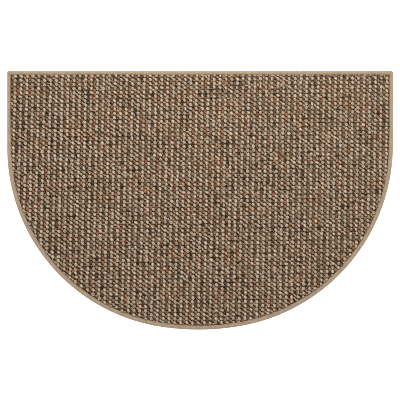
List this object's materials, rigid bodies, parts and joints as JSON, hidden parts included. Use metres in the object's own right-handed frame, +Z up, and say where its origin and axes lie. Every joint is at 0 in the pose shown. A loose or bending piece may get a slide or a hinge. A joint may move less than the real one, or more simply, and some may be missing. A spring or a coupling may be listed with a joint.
{
  "type": "doormat",
  "caption": "Half-round loop-pile doormat: heathered brown and cream carpet with a straight back edge, bound all round in tan tape.",
  "frame": {"origin": "middle of the mat's bounding box, on its underside", "axes": "+X along the straight back edge, +Y from the bowed front to the straight back edge, +Z up out of the pile"},
  "size_m": [0.6, 0.4026, 0.009],
  "materials": {
    "loop_pile": "heathered twisted-yarn loops, cream and brown with rust flecks, matt",
    "binding_tape": "tan woven tape, folded over the edge and sewn, matt"
  },
  "bodies": {
    "root": {"carpet": "loop_pile", "binding": "binding_tape"}
  },
  "joints": []
}
